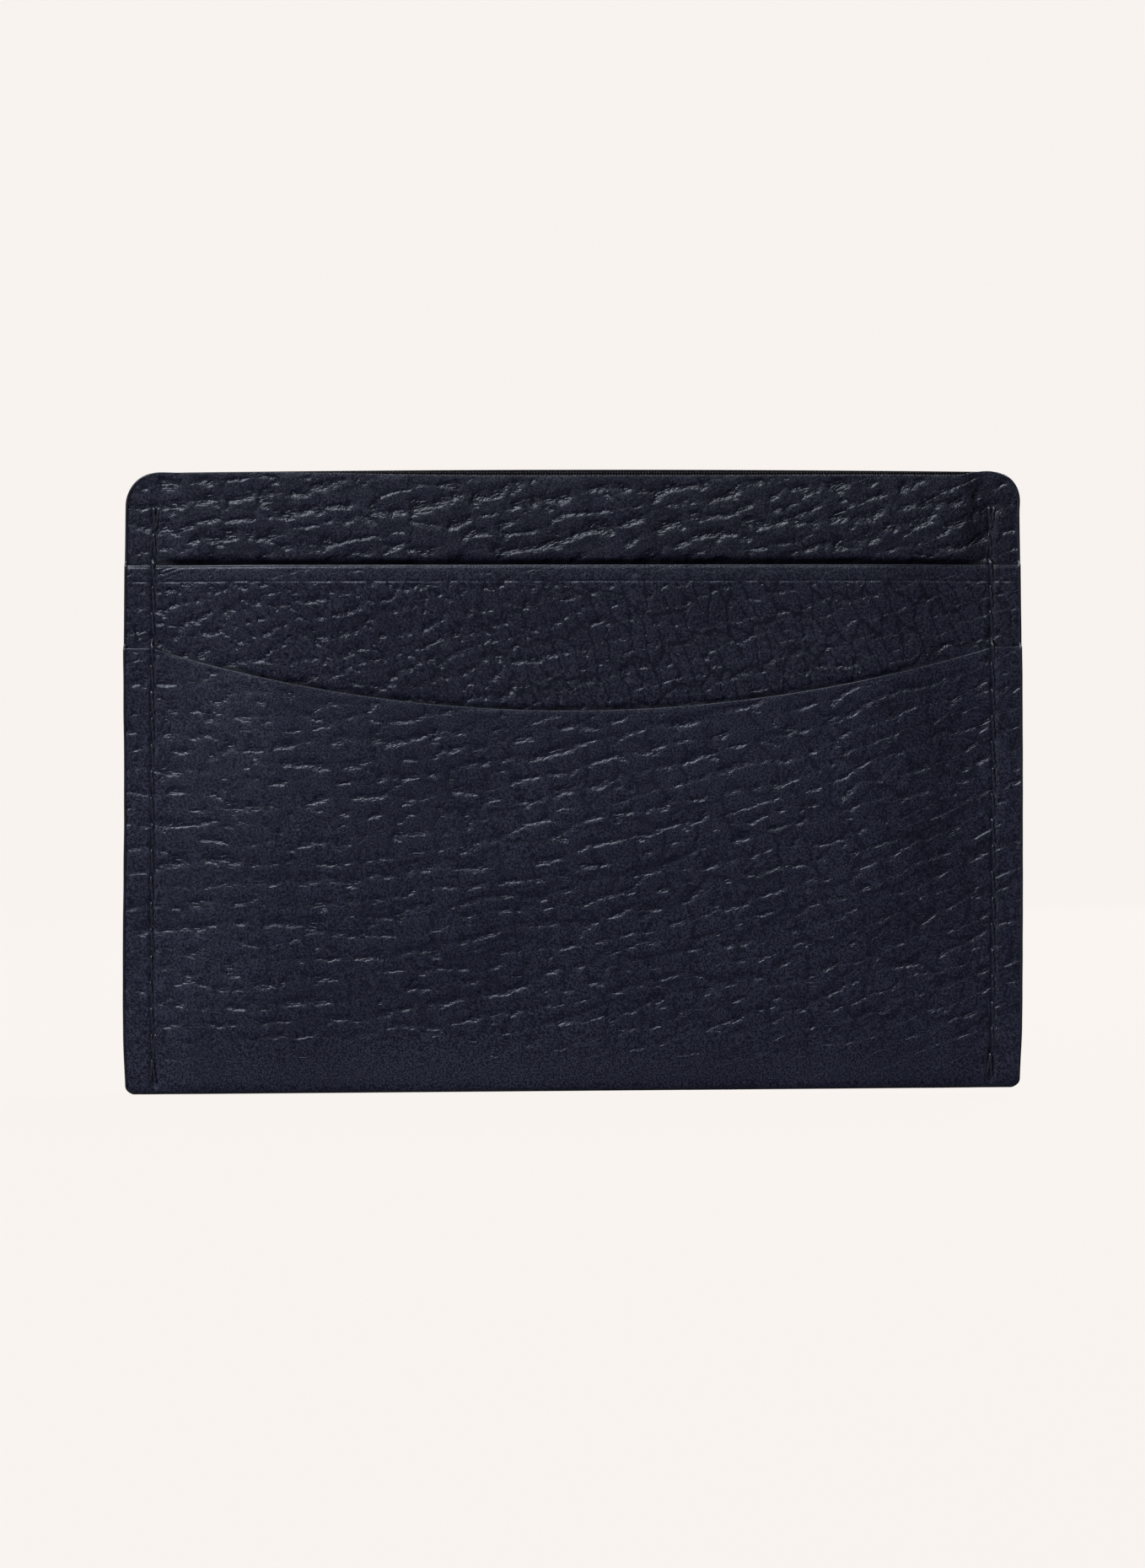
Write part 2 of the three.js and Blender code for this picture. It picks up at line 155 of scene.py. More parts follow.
def panel_top(x, sign):
    """Height of a panel's top edge, with its rounded corners."""
    inner = SIDE - TOP_CORNER_R
    over = np.clip(np.abs(x) - inner, 0, TOP_CORNER_R - INSET)
    corner = TOP_CORNER_R - INSET
    drop = corner - np.sqrt(np.maximum(corner**2 - over**2, 0))
    rise = BACK_CROWN * (1 - np.minimum(np.abs(x) / inner, 1) ** 2)
    if sign < 0:
        rise = rise - lining_shown(x)
    return CORNER_TOP - INSET + rise - drop


def fold_lift(x):
    """How far the rounded bottom corners lift the fold."""
    corner = BOTTOM_CORNER_R - INSET
    over = np.clip(np.abs(x) - (LEATHER_SIDE - corner), 0, corner)
    return corner - np.sqrt(np.maximum(corner**2 - over**2, 0))


def stitched(z):
    """1 along a seam, fading to 0 at both of its ends."""
    return smooth(SEAM_LOW - 0.6, SEAM_LOW + 0.3, z) * (1 - smooth(SEAM_HIGH - 0.3, SEAM_HIGH + 0.6, z))


def seam_dip(x, z):
    """How deep the thread pulls the leather in along the seams, deepest at its holes. The
    groove is wider at both ends, where the seam is sewn twice."""
    hole = (z - FIRST_HOLE) / PITCH
    near_hole = np.cos(math.pi * (hole - np.round(hole))) ** 6
    wander = 0.07 * ripple(z, 0, 61, 5) + 0.05 * near_hole
    off = np.abs(np.abs(x) - SEAM_X + wander)
    locked = 1 - smooth(SEAM_LOW + 2.2, SEAM_LOW + 3.6, z) + smooth(SEAM_HIGH - 3.6, SEAM_HIGH - 2.2, z)
    groove = SEAM_GROOVE * np.exp(-((off / (0.18 + 0.2 * locked)) ** 2))
    pull = (0.16 + 0.08 * ripple(z, 0, 62, 7)) * near_hole * np.exp(-((off / 0.42) ** 2))
    roll = -0.012 * (1 - near_hole) * np.exp(-(((off - 0.75) / 0.4) ** 2))
    return (groove + pull + roll) * stitched(z)


def flat_offset(layer, x):
    """How far a layer's outer face is from the middle plane, before it swells or dips."""
    mid, edge, _ = STACK[layer]
    return edge + (mid - edge) * pillow(x)


def panel_offset(x, z):
    """A panel's outer face swells just above the upper pocket, and less by its own top edge."""
    above = z - UPPER_TOP
    reach = 0.85 + 0.25 * ripple(x, 0, 41, 8)
    swell = smooth(0.0, reach, above) * (1 - 0.4 * smooth(3.0, 10.4, above))
    wave = 0.07 * ripple(x, z, 3, 17) * smooth(0.4, 3, above)
    free = 1 - smooth(42.8, FLAT_X, np.abs(x))
    return flat_offset("panel", x) + PANEL_SWELL * swell * free + wave * pillow(x)


def upper_offset(x, z):
    """The upper pocket's outer face swells above the lower pocket's mouth, less by its crease,
    and turns in at its top edge."""
    above = z - mouth(x)
    below = UPPER_TOP - z
    reach = 0.8 + 0.25 * ripple(x, 0, 43, 9)
    swell = smooth(0.05, reach, above) * (1 - 0.5 * smooth(2.0, 10.0, below))
    lip = 0.10 * smooth(1.4, 0.0, below)
    wave = 0.08 * ripple(x, z, 5, 21) * smooth(1, 4, below)
    return flat_offset("upper", x) + (UPPER_SWELL * swell + wave - lip) * pillow(x)


def shell_half(x, z):
    """The shell's outer face above its fold, as its distance from the middle plane."""
    pressed = flat_offset("shell", x)
    rise = smooth(FOLD_TOP, SHELL_FULL, z)
    fold = np.minimum(FOLD_HALF, pressed)
    below = mouth(x) - z
    wave = 0.10 * ripple(x, z, 11, 24) * smooth(1, 6, below) * smooth(3, 10, z)
    return fold + (pressed - fold) * rise + wave * pillow(x)


def margin_face(z, start=-0.05, end=0.25):
    """Outer face of the stack in the sewn margins. It steps in softly where a pocket ends,
    from start to end above the pocket's mouth."""
    shell, upper, panel = (STACK[name][1] for name in ("shell", "upper", "panel"))
    face = shell - (shell - upper) * smooth(MOUTH_SIDE + start, MOUTH_SIDE + end, z)
    return face - (upper - panel) * smooth(UPPER_TOP + start, UPPER_TOP + end, z)


def settle(points):
    """The whole holder is a little out of square, as a handmade one is: its bottom edge rises
    to the right and its top edge a little too, its sides bow, its left side is pressed in, it
    is narrower at the fold and its right top corner is tighter than the left one."""
    x, y, z = points[..., 0], points[..., 1], points[..., 2]
    lift = 0.38 + 0.42 * x / SIDE * (1 - smooth(0, CORNER_TOP, z))
    crown = (0.05 + 0.06 * x / SIDE) * (z / CORNER_TOP) ** 6
    bow = 1 - 0.006 * ((z - 28) / 38) ** 2 - 0.004 * (1 - smooth(0, 7, z))
    corner = smooth(45, 49, x) * smooth(64, 68, z)
    dent = 0.22 * smooth(-40, -50, x) * bump(z, 32, 13)
    return np.stack([x * bow + 0.3 * corner + dent, y, z + lift + crown + 0.10 * corner], axis=-1)


# ---- Meshes ----

NEAR_SEAM = 44.6  # the meshes are finer from here outwards


def spaced(start, end, step):
    """Places from start to end whose spacing follows the function step."""
    places = [start]
    while places[-1] < end:
        places.append(places[-1] + step(places[-1]))
    places = np.array(places)
    return start + (places - start) * (end - start) / (places[-1] - start)


def columns(coarse):
    """X places across a layer: close together by the seams and round the corners."""
    flat = spaced(0, NEAR_SEAM, lambda x: coarse)
    near = spaced(NEAR_SEAM, SIDE - TOP_CORNER_R, lambda x: 0.2)[1:]
    turn = np.linspace(0, math.pi / 2, 27)[1:]
    corner = SIDE - TOP_CORNER_R + (TOP_CORNER_R - INSET) * np.sin(turn)
    half = np.concatenate([flat, near, corner])
    return np.concatenate([-half[:0:-1], half])


def write_mesh(name, points, faces, attributes=None):
    """A new object from points in millimetres, its faces turned outwards."""
    mesh = bpy.data.meshes.new(name)
    mesh.from_pydata((settle(points) * MM).tolist(), [], faces)
    for key, values in (attributes or {}).items():
        vector = values.ndim == 2
        kind = "FLOAT_VECTOR" if vector else "FLOAT"
        layer = mesh.attributes.new(key, kind, "POINT")
        layer.data.foreach_set("vector" if vector else "value", values.astype(np.float32).ravel())
    work = bmesh.new()
    work.from_mesh(mesh)
    bmesh.ops.recalc_face_normals(work, faces=work.faces)
    work.to_mesh(mesh)
    work.free()
    mesh.shade_smooth()
    piece = bpy.data.objects.new(name, mesh)
    bpy.context.scene.collection.objects.link(piece)
    return piece


def slab_faces(rows, cols, row_pick, col_pick):
    """Faces of a slab whose coarse side has only the picked rows and columns."""
    fine = np.arange(rows * cols).reshape(rows, cols)
    coarse = rows * cols + np.arange(len(row_pick) * len(col_pick)).reshape(len(row_pick), -1)

    def quads(grid):
        return np.stack([grid[:-1, :-1], grid[1:, :-1], grid[1:, 1:], grid[:-1, 1:]], -1).reshape(-1, 4)

    faces = quads(fine).tolist() + quads(coarse)[:, ::-1].tolist()
    rims = [(fine[i], coarse[i], col_pick) for i in (0, -1)]
    rims += [(fine[:, i], coarse[:, i], row_pick) for i in (0, -1)]
    for fine_edge, coarse_edge, picks in rims:
        for k in range(len(picks) - 1):
            run = fine_edge[picks[k] : picks[k + 1] + 1].tolist()
            faces.append(run + [int(coarse_edge[k + 1]), int(coarse_edge[k])])
    return faces


def outward_normals(outer, inner):
    """Unit normals of a grid of points, turned away from its inner face."""
    normal = np.cross(np.gradient(outer, axis=0), np.gradient(outer, axis=1))
    normal /= np.maximum(np.linalg.norm(normal, axis=-1, keepdims=True), 1e-9)
    toward = np.sign((normal * (outer - inner)).sum(-1, keepdims=True))
    return normal * np.where(toward == 0, 1, toward)


def slab(name, outer, inner, grain, relief, crease, shade, every=6):
    """A closed sheet: a fine outer face, a coarse inner face and a rim between them.
    outer and inner are grids of points. The outer face carries grain, relief and crease for the grain
    and its painted crease shade, and shade for the painted shade in the leather's colour."""
    rows, cols = outer.shape[:2]
    row_pick = np.unique(np.append(np.arange(0, rows, every), rows - 1))
    col_pick = np.unique(np.append(np.arange(0, cols, every), cols - 1))
    picked = np.ix_(row_pick, col_pick)
    back = inner[picked].reshape(-1, 3)
    faces = slab_faces(rows, cols, row_pick, col_pick)
    none = np.zeros(len(back))
    attributes = {
        "grain": np.concatenate([grain.reshape(-1, 3), grain[picked].reshape(-1, 3)]),
        "relief": np.concatenate([relief.ravel(), none]),
        "crease": np.concatenate([crease.ravel(), none]),
        "shade": np.concatenate([shade.ravel(), none]),
        "outward": np.concatenate([outward_normals(outer, inner).reshape(-1, 3), 0 * back]),
    }
    return write_mesh(name, np.concatenate([outer.reshape(-1, 3), back]), faces, attributes)


def sweep(centres, across, up, section):
    """Points and faces of a closed tube: section[t, k] is one (across, up) place of the loop
    at station t."""
    stations, sides = section.shape[:2]
    points = (
        centres[:, None, :]
        + section[..., 0:1] * across[:, None, :]
        + section[..., 1:2] * up[:, None, :]
    )
    faces = []
    for i in range(stations - 1):
        for j in range(sides):
            k = (j + 1) % sides
            faces.append([i * sides + j, i * sides + k, (i + 1) * sides + k, (i + 1) * sides + j])
    faces.append(list(range(sides)))
    faces.append([(stations - 1) * sides + j for j in range(sides)][::-1])
    return points.reshape(-1, 3), faces


# ---- Node trees ----

class Nodes:
    """Short names for building a shader or a geometry node tree."""

    def __init__(self, tree):
        self.tree = tree

    def add(self, kind, **settings):
        node = self.tree.nodes.new(kind)
        for key, value in settings.items():
            setattr(node, key, value)
        return node

    def put(self, socket, value):
        if isinstance(value, bpy.types.NodeSocket):
            self.tree.links.new(value, socket)
        else:
            socket.default_value = value

    def math(self, operation, a, b=0.0, c=0.0):
        node = self.add("ShaderNodeMath", operation=operation)
        for socket, value in zip(node.inputs, (a, b, c)):
            self.put(socket, value)
        return node.outputs[0]

    def vector(self, operation, a, b=(0, 0, 0), c=(0, 0, 0)):
        node = self.add("ShaderNodeVectorMath", operation=operation)
        for socket, value in zip(node.inputs, (a, b, c)):
            self.put(socket, value)
        return node.outputs[0]

    def noise(self, place, scale, detail=2.0, rough=0.5, colour=False):
        node = self.add("ShaderNodeTexNoise", noise_dimensions="3D")
        self.put(node.inputs["Vector"], place)
        node.inputs["Scale"].default_value = scale
        node.inputs["Detail"].default_value = detail
        node.inputs["Roughness"].default_value = rough
        return node.outputs["Color" if colour else 0]

    def cells(self, place, stretch, random):
        """Random cells: how far a place is from its cell's border, and how far it is above
        the cell's middle."""
        spot = self.vector("MULTIPLY", place, stretch)
        found = []
        for feature in ("DISTANCE_TO_EDGE", "F1"):
            node = self.add("ShaderNodeTexVoronoi", voronoi_dimensions="2D", feature=feature)
            self.put(node.inputs["Vector"], spot)
            node.inputs["Scale"].default_value = 1.0
            node.inputs["Randomness"].default_value = random
            found.append(node.outputs["Distance" if feature != "F1" else "Position"])
        split = self.add("ShaderNodeSeparateXYZ")
        self.put(split.inputs[0], self.vector("SUBTRACT", spot, found[1]))
        return found[0], split.outputs[1]

    def ramp(self, value, low, high, out_low=0.0, out_high=1.0):
        node = self.add("ShaderNodeMapRange", interpolation_type="SMOOTHSTEP")
        for socket, given in zip(node.inputs, (value, low, high, out_low, out_high)):
            self.put(socket, given)
        return node.outputs[0]

    def mix(self, share, a, b):
        node = self.add("ShaderNodeMix", data_type="RGBA")
        self.put(node.inputs[0], share)
        self.put(node.inputs[6], a)
        self.put(node.inputs[7], b)
        return node.outputs[2]


# The noises that push the grain's lines about: scale, detail and reach.
PUSHES = [(0.30, 1.0, (1.3, 0.9, 0.0)), (1.7, 2.0, (0.5, 0.36, 0.0))]
FRAY = [(5.0, 2.0, (0.20, 0.26, 0.0))]
# The cells between the wrinkles, and between the folds: stretch and randomness.
WRINKLE_CELLS = ((0.58, 1.0, 0.0), 0.7)
FOLD_CELLS = ((0.92, 0.44, 0.0), 0.65)
GROOVE_DEPTH = 0.17
FOLD_DEPTH = 0.036
PEBBLE_LEAN = 0.07  # how fast a pebble's face rises towards its upper rim


def warped(k, cell, frayed):
    """The grain's places, pushed about so that none of its lines runs straight."""
    pushes = PUSHES + FRAY if frayed else PUSHES
    place = cell
    for scale, detail, reach in pushes:
        swirl = k.vector("SUBTRACT", k.noise(cell, scale, detail, colour=True), (0.5, 0.5, 0.5))
        place = k.vector("MULTIPLY_ADD", swirl, reach, place)
    return place


def grain_height(k, cell, relief, crease, soft, frayed=False):
    """Height of the leather's pebbles in millimetres. cell runs in pebbles along and across
    the hide's wrinkles; relief scales the wrinkles and crease the folds across them. soft
    widens both, for a mesh too coarse for sharp ones.
    Every pebble leans a little, so that its upper rim stands out and its foot sinks in."""
    place = warped(k, cell, frayed)
    row, lean = k.cells(place, *WRINKLE_CELLS)
    side, _ = k.cells(place, *FOLD_CELLS)
    patches = k.noise(k.vector("MULTIPLY", cell, (1.7, 1.1, 1.0)), 1.0, 1.0)
    rare = k.math("MULTIPLY_ADD", relief, -0.12, 0.52)
    broken = k.ramp(patches, rare, k.math("ADD", rare, 0.22))
    level = k.ramp(k.math("ABSOLUTE", lean), 0.12, 0.34)
    width = k.math("MULTIPLY", k.ramp(lean, -0.12, 0.12, 0.46 * soft, 0.20 * soft), relief)
    groove = k.ramp(row, 0.0, k.math("MAXIMUM", width, 0.04), 1.0, 0.0)
    groove = k.math("MULTIPLY", groove, k.math("MULTIPLY", broken, level))
    groove = k.math("MULTIPLY", groove, relief)
    fold = k.math("MULTIPLY", k.ramp(side, 0.0, 0.11 * soft, 1.0, 0.0), crease)
    height = k.math("MULTIPLY", k.math("MULTIPLY_ADD", lean, PEBBLE_LEAN, 0.02), relief)
    height = k.math("MULTIPLY_ADD", groove, -GROOVE_DEPTH, height)
    height = k.math("MULTIPLY_ADD", fold, -FOLD_DEPTH, height)
    return height, groove, fold


CARVED_SHARE = 0.5  # of the grain's height; the leather's bump adds the finer rest


def carve_tree():
    """Geometry nodes that raise the grain on a leather's outer face."""
    tree = bpy.data.node_groups.new("carve_grain", "GeometryNodeTree")
    tree.interface.new_socket("Geometry", in_out="INPUT", socket_type="NodeSocketGeometry")
    tree.interface.new_socket("Geometry", in_out="OUTPUT", socket_type="NodeSocketGeometry")
    k = Nodes(tree)

    def named(name, kind):
        node = k.add("GeometryNodeInputNamedAttribute", data_type=kind)
        node.inputs["Name"].default_value = name
        return next(s for s in node.outputs if s.enabled and s.name == "Attribute")

    cell = named("grain", "FLOAT_VECTOR")
    height, _, _ = grain_height(k, cell, named("relief", "FLOAT"), named("crease", "FLOAT"), 1.7)
    reach = k.math("MULTIPLY", height, CARVED_SHARE * MM)
    scale = k.add("ShaderNodeVectorMath", operation="SCALE")
    k.put(scale.inputs[0], named("outward", "FLOAT_VECTOR"))
    k.put(scale.inputs["Scale"], reach)
    move = k.add("GeometryNodeSetPosition")
    ends = k.add("NodeGroupInput"), k.add("NodeGroupOutput")
    tree.links.new(ends[0].outputs[0], move.inputs["Geometry"])
    tree.links.new(scale.outputs[0], move.inputs["Offset"])
    tree.links.new(move.outputs[0], ends[1].inputs[0])
    return tree


CARVE = carve_tree()


def carve(piece):
    """The piece with the grain applied to its mesh."""
    modifier = piece.modifiers.new("grain", "NODES")
    modifier.node_group = CARVE
    seen = piece.evaluated_get(bpy.context.evaluated_depsgraph_get())
    carved = bpy.data.meshes.new_from_object(seen)
    carved.name = piece.name
    piece.modifiers.clear()
    piece.data = carved
    carved.shade_smooth()
    return piece


# ---- Materials ----

def shader(name, specular):
    """A new material, its tree's short names and its surface node."""
    material = bpy.data.materials.new(name)
    material.use_nodes = True
    surface = material.node_tree.nodes["Principled BSDF"]
    surface.inputs["Specular IOR Level"].default_value = specular
    return material, Nodes(material.node_tree), surface


def object_mm(k):
    """The place on the piece, in millimetres."""
    place = k.add("ShaderNodeTexCoord").outputs["Object"]
    return k.vector("MULTIPLY", place, (1000, 1000, 1000))


def attribute(k, name, output):
    return k.add("ShaderNodeAttribute", attribute_name=name).outputs[output]


def set_bump(k, surface, height_mm):
    """Fine relief that the mesh doesn't have, from its height in millimetres."""
    node = k.add("ShaderNodeBump")
    node.inputs["Distance"].default_value = MM
    k.put(node.inputs["Height"], height_mm)
    k.put(surface.inputs["Normal"], node.outputs[0])


# Colours, as linear red, green and blue, and lengths in millimetres.
NAVY = (0.0050, 0.0056, 0.0130, 1)
# darker navy for random patches, and for the painted shade in the creases
NAVY_PATCH_AND_SHADE = (0.0035, 0.0042, 0.0105, 1)
NAVY_WORN = (0.0258, 0.0280, 0.0495, 1)
NAVY_SHADE = (0.0006, 0.0006, 0.0010, 1)
PAINT_THICK = (0.006, 0.007, 0.012, 1)
PAINT_THIN = (0.015, 0.016, 0.026, 1)
# painted highlight on the crossings of the black lining's threads
YARN_CROWN_HIGHLIGHT = (0.075, 0.072, 0.082, 1)
YARN_GAP = (0.0006, 0.0006, 0.0008, 1)
YARN_PITCH = 0.31
FIBRE_DARK = (0.006, 0.0065, 0.012, 1)
FIBRE_LIGHT = (0.020, 0.022, 0.036, 1)


def leather_colour(k, place, pores, groove, fold):
    """Dye that is rubbed thin between the pores and darker in random patches; the creases get painted
    shade.
    """
    # painted shade: the wrinkle grooves and the folds between pebbles are darkened
    deep = k.math("MAXIMUM", k.math("MULTIPLY", groove, 0.5), k.math("MULTIPLY", fold, 0.75))
    colour = k.mix(k.ramp(pores, 0.415, 0.60), NAVY, NAVY_WORN)
    colour = k.mix(k.math("MINIMUM", deep, 1.0), colour, NAVY_PATCH_AND_SHADE)
    mottle = k.noise(place, 0.09, 2.0)
    return k.mix(k.ramp(mottle, 0.35, 0.7, 0.0, 0.25), colour, NAVY_PATCH_AND_SHADE)


def leather_material():
    """Pebbled, aniline-dyed calf: pebbles with creases in painted shade, worn tops and a fine pore
    grain.
    """
    material, k, surface = shader("grained_leather", 0.36)
    cell = attribute(k, "grain", "Vector")
    relief = attribute(k, "relief", "Fac")
    crease = attribute(k, "crease", "Fac")
    shade = attribute(k, "shade", "Fac")
    place = object_mm(k)
    height, groove, fold = grain_height(k, cell, relief, crease, 1.0, frayed=True)
    pores = k.noise(place, 5.0, 2.0, 0.7)
    fibre = k.noise(place, 1.6, 2.0, 0.55)
    colour = leather_colour(k, place, pores, groove, fold)
    # painted shade: the shade attribute darkens the leather towards near black
    k.put(surface.inputs["Base Color"], k.mix(k.math("MULTIPLY", shade, 0.85), colour, NAVY_SHADE))
    gloss = k.math("MULTIPLY_ADD", pores, 0.14, k.ramp(shade, 0.2, 1.0, 0.26, 0.7))
    k.put(surface.inputs["Roughness"], k.math("MULTIPLY_ADD", fibre, 0.10, gloss))

    flecks = k.ramp(k.noise(k.vector("MULTIPLY", cell, (4.2, 6.5, 1.0)), 1.0, 1.0), 0.4, 0.65)
    ragged = k.math("MULTIPLY", k.math("MULTIPLY", flecks, groove), relief)
    total = k.math("MULTIPLY", height, 0.85)
    for part, depth in ((ragged, 0.06), (pores, 0.06), (fibre, 0.014)):
        total = k.math("MULTIPLY_ADD", part, depth, total)
    set_bump(k, surface, total)
    return material


def paint_material():
    """Several coats of satin edge paint, rubbed smooth but not quite even."""
    material, k, surface = shader("edge_paint", 0.4)
    place = object_mm(k)
    coat = k.noise(place, 0.8, 3.0)
    k.put(surface.inputs["Base Color"], k.mix(coat, PAINT_THICK, PAINT_THIN))
    k.put(surface.inputs["Roughness"], k.math("MULTIPLY_ADD", coat, 0.22, 0.27))
    fine = k.math("MULTIPLY", k.noise(place, 2.6, 2.0), 0.02)
    set_bump(k, surface, k.math("MULTIPLY_ADD", coat, 0.05, fine))
    return material


def fabric_material():
    """A fine plain weave of black thread: threads over and under each other, with a little fuzz, and
    painted highlights on their crossings.
    """
    material, k, surface = shader("lining_fabric", 0.02)
    place = object_mm(k)
    split = k.add("ShaderNodeSeparateXYZ")
    k.put(split.inputs[0], place)
    uneven = k.math("MULTIPLY", k.noise(place, 1.2, 1.0), 0.9)
    turns = math.pi / YARN_PITCH
    warp = k.math("SINE", k.math("MULTIPLY_ADD", split.outputs[0], turns, uneven))
    weft = k.math("SINE", k.math("MULTIPLY_ADD", split.outputs[2], turns, uneven))
    weave = k.math("POWER", k.math("MULTIPLY", warp, weft), 2.0)
    fuzz = k.noise(place, 7.0, 2.0)
    # painted highlight: the crossings of the weave are lighter in colour
    light = k.math("MULTIPLY", weave, k.ramp(fuzz, 0.35, 0.6, 0.3, 1.0))
    k.put(surface.inputs["Base Color"], k.mix(light, YARN_GAP, YARN_CROWN_HIGHLIGHT))
    k.put(surface.inputs["Roughness"], k.math("MULTIPLY_ADD", fuzz, 0.2, 0.66))
    set_bump(k, surface, k.math("MULTIPLY_ADD", weave, 0.05, k.math("MULTIPLY", fuzz, 0.02)))
    return material


def thread_material():
    """Waxed sewing thread: the ply is in the mesh, the fibres are here."""
    material, k, surface = shader("thread", 0.5)
    surface.inputs["Sheen Weight"].default_value = 0.05
    place = object_mm(k)
    fibre = k.noise(k.vector("MULTIPLY", place, (9, 9, 2.5)), 1.0, 2.0)
    k.put(surface.inputs["Base Color"], k.mix(fibre, FIBRE_DARK, FIBRE_LIGHT))
    k.put(surface.inputs["Roughness"], k.math("MULTIPLY_ADD", fibre, 0.25, 0.2))
    set_bump(k, surface, k.math("MULTIPLY", fibre, 0.03))
    return material


LEATHER = leather_material()
PAINT = paint_material()
FABRIC = fabric_material()
THREAD = thread_material()


def finish_piece(piece, node, material):
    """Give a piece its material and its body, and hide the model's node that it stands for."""
    piece.data.materials.clear()
    piece.data.materials.append(material)
    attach(piece, "root")
    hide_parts(node)
    return piece


# ---- Leather layers ----

def hide_flow(x, z, slopes, seed, long, tall, shear=0.18):
    """Places on the hide, in pebbles along and across its wrinkles. slopes are the wrinkles'
    rise per millimetre at the left side, the middle and the right side; long and tall are a
    pebble's size, shear leans it to the left, and seed picks another part of the hide."""
    left, middle, right = slopes
    t = x / SIDE
    bend = (right + left - 2 * middle) / 2
    tilt = (right - left) / 2
    rise = SIDE * (middle * t + tilt * t**2 / 2 + bend * t**3 / 3)
    across = (z - rise) / tall
    along = (x + shear * z) / long
    return np.stack([along + 17.3 * seed, across + 9.1 * seed, np.full_like(across, seed)], axis=-1)


def margin_relief(x):
    """The grain is pressed flatter in the margins, and flattest under the stitches."""
    off = np.abs(x) - SEAM_X
    pressed = 1 - 0.15 * smooth(-0.6, 0.6, off)
    return pressed * (1 - 0.7 * np.exp(-((off / 0.35) ** 2)))


def recess_shade(x, above, tall, seed):
    """Painted shade: 1 in the recess where a layer goes down behind the next one's edge, about tall mm
    high.
    """
    border = tall * (1 + 0.16 * ripple(x, 0, seed, 5) + 0.14 * ripple(x, 0, seed + 100, 2))
    return smooth(border, 0.45 * border, above)


# The panels and the upper pockets get a little painted shade all over, so that they stay darker than
# the shell.
PANEL_SHADE_FLOOR = 0.27
UPPER_SHADE_FLOOR = 0.18
STRIP = 12.0  # only this much of a panel, down from its top edge, is finely made


def panel_rows(top):
    """Heights down a panel, closest together by its top edge."""
    seen = spaced(0.0, STRIP, lambda down: 0.04 if down < 0.1 else 0.1 if down < 0.6 else 0.2)
    hidden = np.linspace(0, 1, 14)[1:]
    low = top - STRIP
    return np.concatenate([top - seen[:, None], low - (low - PANEL_LOW) * hidden[:, None]])


def make_panel(side, sign):
    """A full-height panel, seen only above the upper pocket."""
    x = columns(0.32)[None, :]
    top = panel_top(x, sign)
    z = panel_rows(top)
    x = np.broadcast_to(x, z.shape)
    seen = smooth(UPPER_TOP - 1.5, UPPER_TOP - 0.5, z)
    dip = seam_dip(x, z) * seen
    rounding = 0.02 * np.exp(-((np.maximum(top - z, 0) / 0.12) ** 2))
    far = np.where(z > UPPER_TOP - 1, panel_offset(x, z), flat_offset("panel", x)) - dip
    outer = np.stack([x, sign * (far - rounding), z], axis=-1)
    inner = np.stack([x, sign * (flat_offset("panel", x) - STACK["panel"][2]), z], axis=-1)
    grain = hide_flow(x, z, slopes=(0.1, 0.24, 0.36), seed=1 if sign < 0 else 4, long=3.1, tall=2.3)
    relief = 1.2 * margin_relief(x) * smooth(0.0, 0.9, top - z) * seen
    # painted shade in the recess just above the upper pocket's edge
    painted_recess_shade = recess_shade(x, z - UPPER_TOP, tall=0.8, seed=71) * (1 - smooth(45.6, 46.5, np.abs(x)))
    # and a little painted shade all over the panel
    shade = np.maximum(painted_recess_shade, PANEL_SHADE_FLOOR)
    piece = slab(f"{side}_panel_leather", outer, inner, grain, relief, 0.5 * relief, shade)
    return finish_piece(carve(piece), f"{side}_panel", LEATHER)


CREASE_DOWN = 1.9  # a line is pressed into the upper pocket this far below its top edge
CREASE_DEPTH = 0.11
UPPER_END = 36.0  # between the margins its leather ends here, behind the lower pocket


def upper_rows(x, margin_end):
    """Heights down the upper pocket: close together by its edge and its crease, then evenly
    down to the mouth of the lower pocket, and a few more behind it."""
    close = [[0, 0.04], np.arange(0.1, 0.6, 0.08), np.arange(0.6, 1.5, 0.14), np.arange(1.5, 2.3, 0.07)]
    near_top = UPPER_TOP - INSET - np.concatenate(close)[:, None] + 0 * x
    last = near_top[-1:]
    behind = mouth(x) - 1.2
    seen = last + (behind - last) * np.linspace(0, 1, 76)[1:, None]
    end = np.where(np.abs(x) > MARGIN_X, margin_end, UPPER_END)
    hidden = behind + (end - behind) * np.linspace(0, 1, 5)[1:, None]
    return np.concatenate([near_top, seen, hidden])


def above_mouth(x, z):
    """1 above the lower pocket's mouth, fading to 0 behind it."""
    return smooth(-1.2, -0.3, z - mouth(x))


def upper_face(x, z):
    """The upper pocket's outer face, with its dotted crease, its rounded top edge and a few
    crumples by the left seam."""
    below = UPPER_TOP - z
    dots = smooth(-0.5, 0.7, ripple(x, 0, 51, 2.2) + 0.5 * ripple(x, 0, 52, 9))
    crease = CREASE_DEPTH * bump(below, CREASE_DOWN, 0.12) * (0.35 + 0.65 * dots)
    rounding = np.exp(-((np.maximum(below - INSET, 0) / 0.21) ** 2))
    edge = (0.20 - 0.12 * smooth(-42, -15, x)) * rounding
    crumple = 0.10 * np.sin((2.2 * z - 0.8 * x) * 5.7) * bump(x, -44.6, 1.3) * bump(below, 0.9, 0.7)
    face = np.where(z > mouth(x) - 1, upper_offset(x, z), flat_offset("upper", x))
    return face - seam_dip(x, z) * above_mouth(x, z) - crease - edge + crumple


